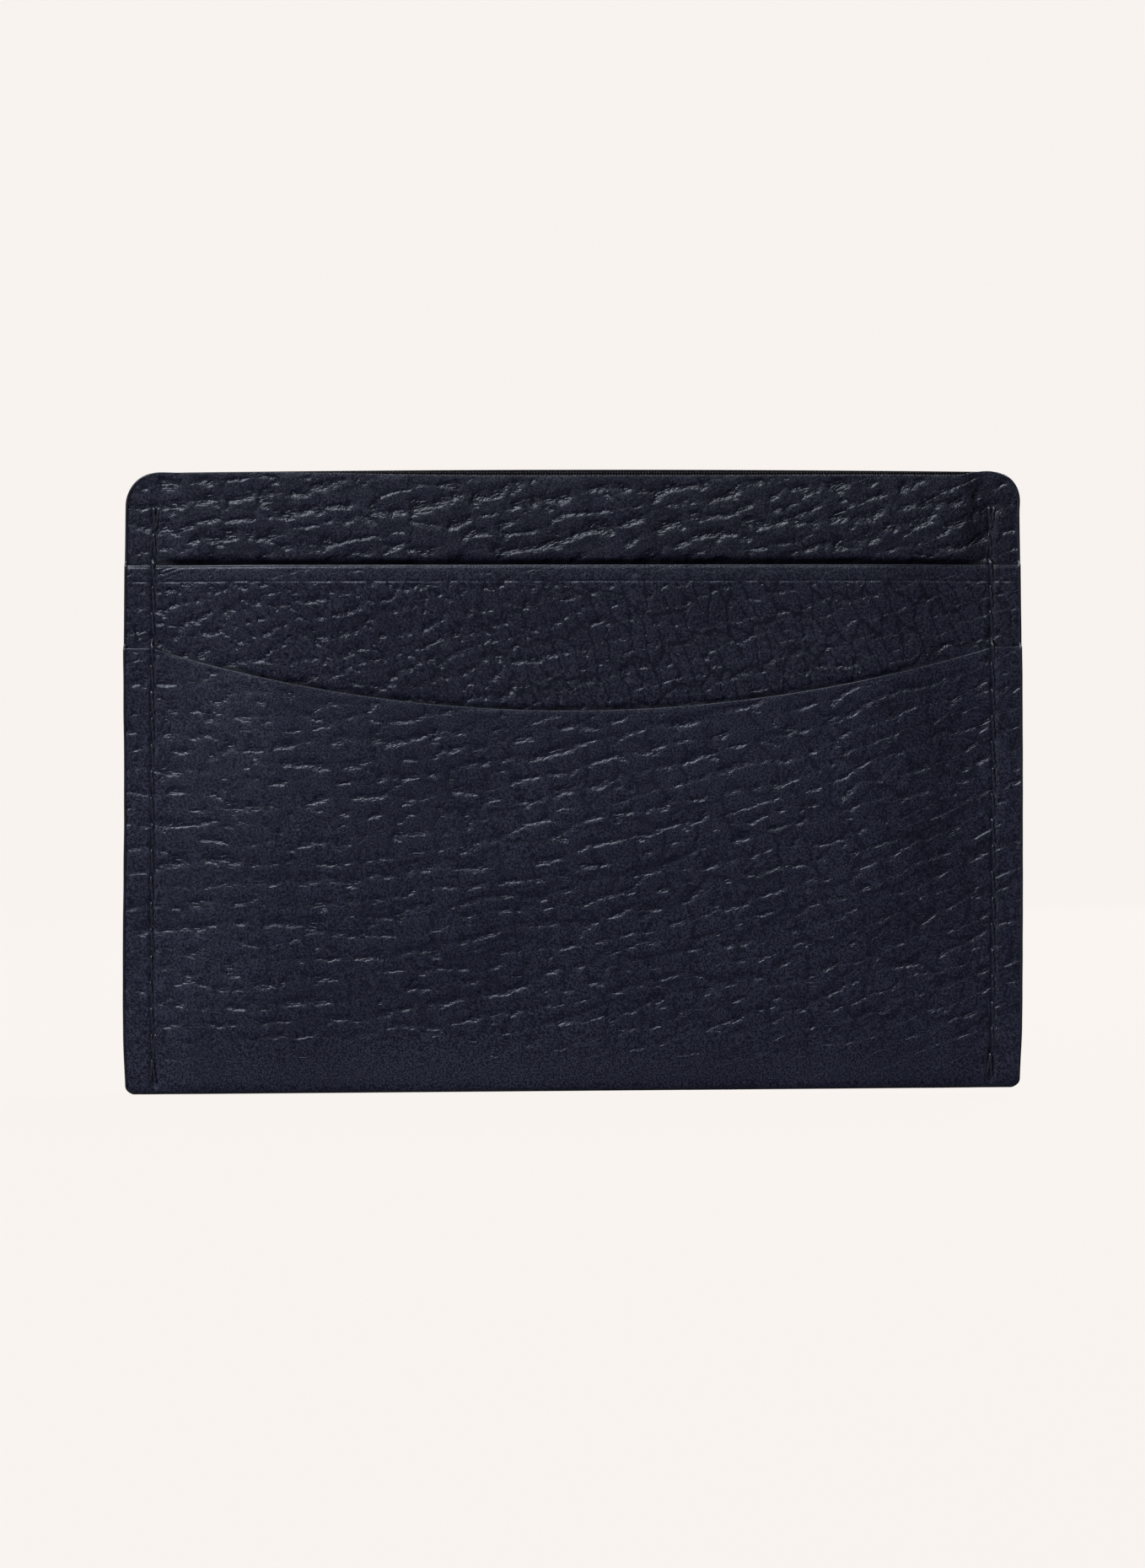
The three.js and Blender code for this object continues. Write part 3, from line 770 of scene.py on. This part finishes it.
def make_upper_pocket(side, sign):
    """The upper pocket, with a pressed crease below its straight top edge."""
    x = columns(0.32)[None, :]
    z = upper_rows(x, box_mm(f"{side}_upper_pocket")[0][2])
    x = np.broadcast_to(x, z.shape)
    outer = np.stack([x, sign * upper_face(x, z), z], axis=-1)
    inner = np.stack([x, sign * (flat_offset("upper", x) - STACK["upper"][2]), z], axis=-1)
    seed = 2 if sign < 0 else 5
    grain = hide_flow(x, z, slopes=(0.28, 0.3, 0.32), seed=seed, long=1.9, tall=2.05, shear=0.42)
    flatter = 0.4 + 0.6 * smooth(1.7, 2.4, UPPER_TOP - z)
    shown = margin_relief(x) * smooth(0.0, 0.7, UPPER_TOP - INSET - z) * flatter * above_mouth(x, z)
    relief = (1.0 - 0.38 * smooth(-28, 22, x)) * shown
    crease = (0.5 + 0.65 * smooth(-35, 15, x)) * shown
    # painted shade, uneven, in the recess just above the lower pocket's mouth
    patchy = 0.6 + 0.25 * ripple(x, 0, 73, 6)
    painted_recess_shade = patchy * recess_shade(x, z - mouth(x), tall=0.6, seed=72) * (1 - smooth(38, 46.4, np.abs(x)))
    # and a little painted shade all over the upper pocket
    shade = np.maximum(painted_recess_shade, UPPER_SHADE_FLOOR)
    piece = slab(f"{side}_upper_pocket_leather", outer, inner, grain, relief, crease, shade)
    return finish_piece(carve(piece), f"{side}_upper_pocket", LEATHER)


def shell_path(x, thickness, rows, turns):
    """A layer that runs down the front, round the fold and up the back, as a grid of points
    lying thickness inside the shell's outer face."""
    half_turn = np.linspace(0, math.pi, turns)[:, None]
    lift = fold_lift(x)
    land = FOLD_HALF - FOLD_R
    fold_r = FOLD_R - thickness
    squeeze = np.minimum(1, flat_offset("shell", x) / FOLD_HALF)
    t = np.concatenate([[0, 0.001, 0.0025], np.linspace(0.005, 1, rows - 3)])[:, None]
    top = mouth(x) - INSET
    start = FOLD_R + lift * 0.5
    z_down = top + (start - top) * t
    near_top = 0.015 * np.exp(-(((top - z_down) / 0.12) ** 2)) if thickness == 0 else 0
    half = shell_half(x, z_down) - thickness - near_top
    wide = np.broadcast_to(x, z_down.shape)
    front = np.stack([wide, -half, z_down], axis=-1)
    back = np.stack([wide, half, z_down], axis=-1)[::-1]
    round_y = np.abs(np.cos(half_turn)) ** 0.5
    y_turn = -(land + fold_r * round_y) * np.sign(np.cos(half_turn) + 1e-9)
    y_turn = y_turn * squeeze * (half[-1:] / (squeeze * (land + fold_r)))
    z_turn = start - (start - thickness - lift) * np.sin(half_turn) ** 0.5
    wide = np.broadcast_to(x, z_turn.shape)
    fold = np.stack([wide, y_turn, z_turn], axis=-1)
    return np.concatenate([front[:-1], fold, back[1:]])


ROUND_FOLD = 4.0  # the leather's way round the fold, for the grain's run from front to back


def make_shell():
    """The folded leather that makes the lower pocket of both sides."""
    x = columns(0.45)[None, :]
    outer = shell_path(x, 0.0, rows=158, turns=23)
    inner = shell_path(x, STACK["shell"][2], rows=158, turns=23)
    gx, gy, gz = (outer[..., axis].copy() for axis in range(3))
    below = mouth(gx) - gz
    dip = seam_dip(gx, gz) * smooth(0.5, 1.5, np.abs(gy))
    line = 0.03 * bump(below, 2.0, 0.22) * (1 - smooth(15, 45, np.abs(gx)))
    outer[..., 1] -= np.sign(gy) * (dip + line)
    walk = np.where(gy > 0, -gz - ROUND_FOLD, gz)
    grain = hide_flow(gx, walk, slopes=(-0.05, 0.2, 0.42), seed=3, long=3.6, tall=2.15)
    relief = margin_relief(gx) * smooth(0.0, 0.5, below - INSET) * (0.12 + 0.88 * smooth(2.0, 8.5, gz))
    crease = (0.4 + 0.35 * smooth(-40, 10, gx)) * relief
    relief = relief * (0.95 - 0.15 * smooth(-10, 45, gx))
    piece = slab("folded_shell_leather", outer, inner, grain, relief, crease, 0 * relief)
    return finish_piece(carve(piece), "outer_shell", LEATHER)


# ---- Linings ----

CLOTH_GAP = 0.03  # between a lining and the leather it is glued to


def cloth_slab(name, outer, inner):
    """A closed sheet of cloth, without the leather's grain."""
    plain = np.zeros(outer.shape)
    return slab(name, outer, inner, plain, plain[..., 0], plain[..., 0], plain[..., 0], every=3)


def make_shell_lining():
    """The fabric glued inside the lower pockets, folded with the shell."""
    x = columns(1.2)[None, :]
    gap = STACK["shell"][0] - STACK["lining"][0]
    outer = shell_path(x, gap, rows=40, turns=13)
    inner = shell_path(x, gap + STACK["lining"][2], rows=40, turns=13)
    piece = cloth_slab("shell_lining_cloth", outer, inner)
    return finish_piece(piece, "shell_lining", FABRIC)


def make_centre_lining():
    """The fabric bag between the panels. Its back edge stands above the front panel."""
    x = columns(0.8)[None, :]
    t = np.linspace(0, 1, 60)[:, None]

    def wall(sign, inside):
        top = panel_top(x, sign)
        low = PANEL_LOW + 0.3 + inside
        z = top + (low - top) * t
        wide = np.broadcast_to(x, z.shape)
        y = flat_offset("centre", wide) - inside
        return np.stack([wide, sign * y, z], axis=-1)

    outer = np.concatenate([wall(-1, 0), wall(1, 0)[::-1]])
    thick = STACK["centre"][2]
    inner = np.concatenate([wall(-1, thick), wall(1, thick)[::-1]])
    piece = cloth_slab("centre_lining_cloth", outer, inner)
    return finish_piece(piece, "centre_pocket_lining", FABRIC)


def make_slot_fabric(side, sign):
    """The fabric behind the upper pocket, which turns in and is sewn down at its foot."""
    x = columns(1.2)[None, :]
    top = UPPER_TOP - INSET
    z = np.linspace(top, FABRIC_LOW, 50)[:, None] + 0 * x
    wide = np.broadcast_to(x, z.shape)
    thick = STACK["slot_fabric"][2]
    free = flat_offset("slot_fabric", wide)
    sewn = np.minimum(free, STACK["panel"][0] + CLOTH_GAP + thick)
    y = sewn + (free - sewn) * smooth(11, 14, z)
    outer = np.stack([wide, sign * y, z], axis=-1)
    inner = np.stack([wide, sign * (y - thick), z], axis=-1)
    piece = cloth_slab(f"{side}_slot_cloth", outer, inner)
    return finish_piece(piece, f"{side}_slot_fabric", FABRIC)


# ---- Edge paint ----

BEAD_IN = 0.04  # a bead's sides lie this far inside the leather's faces
PAINT_DOME = 0.16  # the side paint is this much higher in its middle than at its rims
PAINT_FOOT = 0.34  # its hidden flat side lies this far inside the outline


def bead_section(half_depth, tall):
    """A bead that caps a cut edge: round on top, with a flat foot."""
    turn = np.linspace(-0.12 * math.pi, 1.12 * math.pi, 14)
    across = np.cos(turn)[None, :] * half_depth
    up = np.broadcast_to(np.maximum(np.sin(turn), -0.25)[None, :] * tall, across.shape)
    return np.stack([across, up], axis=-1)


def make_bead(name, x, z, leather_face, leather_thick, sign, tall):
    """Edge paint along a mouth, over the leather's cut edge and its lining's. leather_face is
    the leather's distance from the middle plane, and leather_thick takes in the lining."""
    thick = leather_thick - BEAD_IN
    middle = leather_face - BEAD_IN - thick / 2
    centres = np.stack([x, sign * middle, z - tall], axis=-1)
    tangent = np.gradient(centres[:, [0, 2]], axis=0)
    tangent /= np.linalg.norm(tangent, axis=1, keepdims=True)
    up = np.stack([-tangent[:, 1], 0 * x, tangent[:, 0]], axis=-1)
    across = np.tile([0.0, float(sign), 0.0], (len(x), 1))
    wobble = 1 + 0.07 * ripple(x, 0, 21, 3.0)
    end = np.abs(x).max()
    half = thick / 2 * wobble * (1 - 0.6 * smooth(end - 1.2, end, np.abs(x)))
    points, faces = sweep(centres, across, up, bead_section(half[:, None], tall))
    piece = write_mesh(f"{name}_bead", points, faces)
    return finish_piece(piece, f"{name}_edge_paint", PAINT)


def bead_columns(end):
    """X places along a bead, closest together by the seams."""
    half = spaced(0, end, lambda x: 0.1 if abs(x - SEAM_X) < 1 else 0.3)
    return np.concatenate([-half[:0:-1], half])


def make_beads(side, sign):
    """The painted edges of one side's panel, upper pocket and lower pocket."""
    x = bead_columns(SIDE - TOP_CORNER_R + 1.4)
    z = panel_top(x, sign) + 0.03
    thick = STACK["panel"][2] + STACK["centre"][2]
    make_bead(f"{side}_panel", x, z, panel_offset(x, z), thick, sign, tall=0.06)
    x = bead_columns(LEATHER_SIDE)
    z = np.full_like(x, UPPER_TOP) - 0.04
    thick = STACK["upper"][2] + STACK["slot_fabric"][2] + CLOTH_GAP
    face = upper_offset(x, z) - seam_dip(x, z)
    make_bead(f"{side}_upper_pocket", x, z, face, thick, sign, tall=0.19)
    z = mouth(x) - 0.02
    thick = STACK["shell"][2] + STACK["lining"][2] + CLOTH_GAP
    face = shell_half(x, z) - seam_dip(x, z)
    make_bead(f"{side}_lower_pocket", x, z, face, thick, sign, tall=0.14)


def side_path():
    """The right side's outline as (x, z) places, from the fold up to the end of the top corner."""
    low_r, high_r = BOTTOM_CORNER_R, TOP_CORNER_R
    turn = np.linspace(math.pi / 2, 0, 9)[3:]
    low = np.stack([SIDE - low_r + low_r * np.cos(turn), low_r - low_r * np.sin(turn)], axis=-1)
    z = spaced(low_r, CORNER_TOP - high_r, lambda z: 0.25)[1:-1]
    straight = np.stack([np.full_like(z, SIDE), z], axis=-1)
    turn = np.linspace(0, math.pi / 2, 25)
    x = SIDE - high_r + high_r * np.cos(turn)
    high = np.stack([x, CORNER_TOP - high_r + high_r * np.sin(turn)], axis=-1)
    return np.concatenate([low, straight, high])


def side_section(path, seed):
    """The side paint's outline at every place of the path: as wide as the stack and domed,
    narrowing round the fold and fading out at the end of the top corner."""
    z = path[:, 1]
    fold = np.clip(1 - z / FOLD_R, 0, 1)
    half = margin_face(z) + 0.03
    half = np.minimum(half, FOLD_R * np.sqrt(np.maximum(1 - fold**2, 0.05)) + 0.25)
    turn = np.linspace(-math.pi / 2, math.pi / 2, 15)
    round_y = np.sin(turn)[None, :] * half[:, None]
    proud = (np.abs(np.cos(turn)) ** 0.55)[None, :] * PAINT_DOME - PAINT_DOME
    uneven = 1 + 0.25 * ripple(z[:, None], 0, seed, 5.0)
    face = np.stack([round_y, proud * uneven + 0.02], axis=-1)
    foot_y = np.stack([half, half / 3, -half / 3, -half], axis=-1)
    foot = np.stack([foot_y, np.full_like(foot_y, -PAINT_FOOT)], axis=-1)
    section = np.concatenate([face, foot], axis=1)
    run = np.cumsum(np.linalg.norm(np.diff(path, axis=0, prepend=path[:1]), axis=1))
    fade = smooth(run[-1] - 2.6, run[-1], run)[:, None]
    section[..., 1] -= 0.12 * fade
    section[..., 0] *= 1 - 0.2 * fade
    return section


def make_side_paint(name, sign):
    """Edge paint down one side, over the cut edges of the whole stack and round both corners."""
    path = side_path()
    tangent = np.gradient(path, axis=0)
    tangent /= np.linalg.norm(tangent, axis=1, keepdims=True)
    centres = np.stack([sign * path[:, 0], 0 * path[:, 0], path[:, 1]], axis=-1)
    outward = np.stack([sign * tangent[:, 1], 0 * path[:, 0], -tangent[:, 0]], axis=-1)
    across = np.tile([0.0, 1.0, 0.0], (len(path), 1))
    points, faces = sweep(centres, across, outward, side_section(path, seed=31 + sign))
    piece = write_mesh(f"{name}_bead", points, faces)
    return finish_piece(piece, f"{name}_edge_paint", PAINT)


# ---- Seams ----

THREAD_R = 0.16
THREAD_SUNK = 0.15  # the thread's middle lies this far under the pressed leather's face
PLY_PITCH = 0.85
HOLE_GAP = 0.12  # a stitch goes down this far before its hole
STITCH_LEAN = 0.26  # a stitch's two ends are this far apart across the seam
SEWN_TWICE = (0, 1, STITCHES - 2, STITCHES - 1)
ASIDE = 0.27  # a second stitch lies this far beside the first


def stitch(z_from, z_to, shift, lean):
    """One stitch of two-ply thread: out of its hole, along the groove, into the next hole."""
    t = np.linspace(0, 1, 30)
    z = z_from + (z_to - z_from) * t
    ends = np.minimum(t, 1 - t)
    depth = 0.30 - 0.30 * smooth(0.0, 0.13, ends) - 0.03 * smooth(0.1, 0.5, ends)
    x = shift + lean * (0.5 - t)
    y = margin_face(z, 0.0, 1.0) - THREAD_SUNK - depth
    centres = np.stack([x, y, z], axis=-1)
    tangent = np.gradient(centres, axis=0)
    tangent /= np.linalg.norm(tangent, axis=1, keepdims=True)
    across = np.cross(tangent, [0.0, 1.0, 0.0])
    across /= np.linalg.norm(across, axis=1, keepdims=True)
    up = np.cross(across, tangent)
    turn = np.linspace(0, 2 * math.pi, 14, endpoint=False)
    twist = (z - SEAM_LOW) / PLY_PITCH * math.pi
    lobes = 1 + 0.20 * np.cos(2 * (turn[None, :] - twist[:, None]))
    thin = 1 - 0.25 * (1 - smooth(0.0, 0.1, ends))
    radius = THREAD_R * lobes * thin[:, None]
    section = np.stack([np.cos(turn) * radius, np.sin(turn) * radius], axis=-1)
    return sweep(centres, across, up, section)


def make_seam(side_name, side, face_name, sign):
    """One face of a side seam, locked at both ends by a few stitches sewn twice."""
    holes = FIRST_HOLE + PITCH * np.arange(STITCHES + 1)
    runs = [(low + HOLE_GAP, high - HOLE_GAP, 0.0, STITCH_LEAN) for low, high in zip(holes, holes[1:])]
    for first in SEWN_TWICE:
        low = holes[first] + 0.35
        runs.append((low, low + PITCH - 0.5, ASIDE if first % 2 else -ASIDE, -0.3))
    points, faces, count = [], [], 0
    for z_from, z_to, shift, lean in runs:
        jitter = rng.uniform(-0.05, 0.05, 3)
        got, quads = stitch(z_from + jitter[0], z_to + jitter[1], shift + jitter[2], lean)
        points.append(got * [1, sign, 1] + [side * SEAM_X, 0, 0])
        faces += [[v + count for v in quad] for quad in quads]
        count += len(got)
    piece = write_mesh(f"{side_name}_seam_{face_name}_stitches", np.concatenate(points), faces)
    return finish_piece(piece, f"{side_name}_seam_{face_name}_thread", THREAD)


# ---- Assembly ----

make_shell()
make_shell_lining()
make_centre_lining()
for side, sign in (("front", -1), ("back", 1)):
    make_panel(side, sign)
    make_upper_pocket(side, sign)
    make_slot_fabric(side, sign)
    make_beads(side, sign)
    floor_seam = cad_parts[f"{side}_slot_floor_seam"]
    floor_seam.data.materials.clear()
    floor_seam.data.materials.append(THREAD)
for name, side in (("left", -1), ("right", 1)):
    make_side_paint(name, side)
    make_seam(name, side, "front", -1)
    make_seam(name, side, "back", 1)


# ---- Stage, light and camera ----

BACKGROUND = (0.939, 0.896, 0.863, 1)
COOL = (0.92, 0.96, 1.0)
KEY_PLACE = (-0.22, -0.20, 0.58)  # metres, like the rest of this part
VIEW_TALL = 0.1746  # metres from the top to the bottom of the picture, at the holder
VIEW_HEIGHT = 0.0345
LENS, SENSOR = 100, 36


def paper_material():
    """Paper that shows the same pale colour everywhere, whatever light falls on it."""
    material, _, surface = shader("stage_paper", 0.0)
    surface.inputs["Base Color"].default_value = (0.008, 0.008, 0.008, 1)
    surface.inputs["Roughness"].default_value = 1.0
    surface.inputs["Emission Color"].default_value = BACKGROUND
    surface.inputs["Emission Strength"].default_value = 0.995
    return material


def make_stage():
    """A pale floor that turns up into a backdrop behind the holder."""
    width, front, back, bend, height = 2.4, -1.6, 1.1, 0.3, 1.6
    turn = np.linspace(0, math.pi / 2, 13)
    profile = [(front, 0.0)]
    profile += [(back - bend + bend * math.sin(a), bend - bend * math.cos(a)) for a in turn]
    profile.append((back, height))
    points = [(x, y, z) for x in (-width / 2, width / 2) for y, z in profile]
    count = len(profile)
    faces = [[i, i + 1, count + i + 1, count + i] for i in range(count - 1)]
    mesh = bpy.data.meshes.new("stage")
    mesh.from_pydata(points, [], faces)
    mesh.shade_smooth()
    mesh.materials.append(paper_material())
    stage = bpy.data.objects.new("stage", mesh)
    bpy.context.scene.collection.objects.link(stage)
    stage.visible_glossy = False
    stage.visible_diffuse = False


def make_world():
    """Pale where the camera sees it; as light, a dim and even studio."""
    world = bpy.data.worlds.new("studio")
    bpy.context.scene.world = world
    world.use_nodes = True
    tree = world.node_tree
    tree.nodes.clear()
    out = tree.nodes.new("ShaderNodeOutputWorld")
    seen = tree.nodes.new("ShaderNodeBackground")
    seen.inputs[0].default_value = BACKGROUND
    lit = tree.nodes.new("ShaderNodeBackground")
    lit.inputs[0].default_value = (1.0, 0.98, 0.95, 1)
    lit.inputs[1].default_value = 0.05
    path = tree.nodes.new("ShaderNodeLightPath")
    mix = tree.nodes.new("ShaderNodeMixShader")
    tree.links.new(path.outputs["Is Camera Ray"], mix.inputs[0])
    tree.links.new(lit.outputs[0], mix.inputs[1])
    tree.links.new(seen.outputs[0], mix.inputs[2])
    tree.links.new(mix.outputs[0], out.inputs[0])


def add_light(name, place, width, height, power, colour=(1, 1, 1), gloss=True, diffuse=True):
    """An area light aimed at the middle of the holder, in metres and watts."""
    data = bpy.data.lights.new(name, "AREA")
    data.shape = "RECTANGLE"
    data.size, data.size_y = width, height
    data.energy = power
    data.color = colour
    light = bpy.data.objects.new(name, data)
    bpy.context.scene.collection.objects.link(light)
    light.visible_glossy = gloss
    light.visible_diffuse = diffuse
    light.location = place
    aim = Vector((0, 0, CORNER_TOP * MM / 2)) - light.location
    light.rotation_euler = aim.to_track_quat("-Z", "Y").to_euler()


def make_camera():
    """Straight on, with a long lens: the holder fills about four fifths of the width."""
    data = bpy.data.cameras.new("camera")
    data.lens = LENS
    data.sensor_width = SENSOR
    camera = bpy.data.objects.new("camera", data)
    bpy.context.scene.collection.objects.link(camera)
    camera.location = (0.0, -VIEW_TALL * LENS / SENSOR, VIEW_HEIGHT)
    camera.rotation_euler = (math.pi / 2, 0, 0)
    bpy.context.scene.camera = camera


make_stage()
make_world()
add_light("key", KEY_PLACE, 0.45, 0.12, 0.4, COOL)
add_light("sheen", KEY_PLACE, 0.45, 0.12, 7.6, (0.79, 0.855, 1.0), diffuse=False)
add_light("fill", (-0.42, -0.50, 0.14), 0.4, 0.2, 2.6, gloss=False)
add_light("low_fill", (-0.24, -0.42, 0.03), 0.4, 0.05, 1.2, gloss=False)
add_light("back_key", (0.20, 0.28, 0.55), 0.45, 0.2, 6.0, COOL)
add_light("back_fill", (0.35, 0.60, 0.20), 0.5, 0.3, 4.5, gloss=False)
make_camera()
bpy.context.scene.view_settings.view_transform = "Standard"
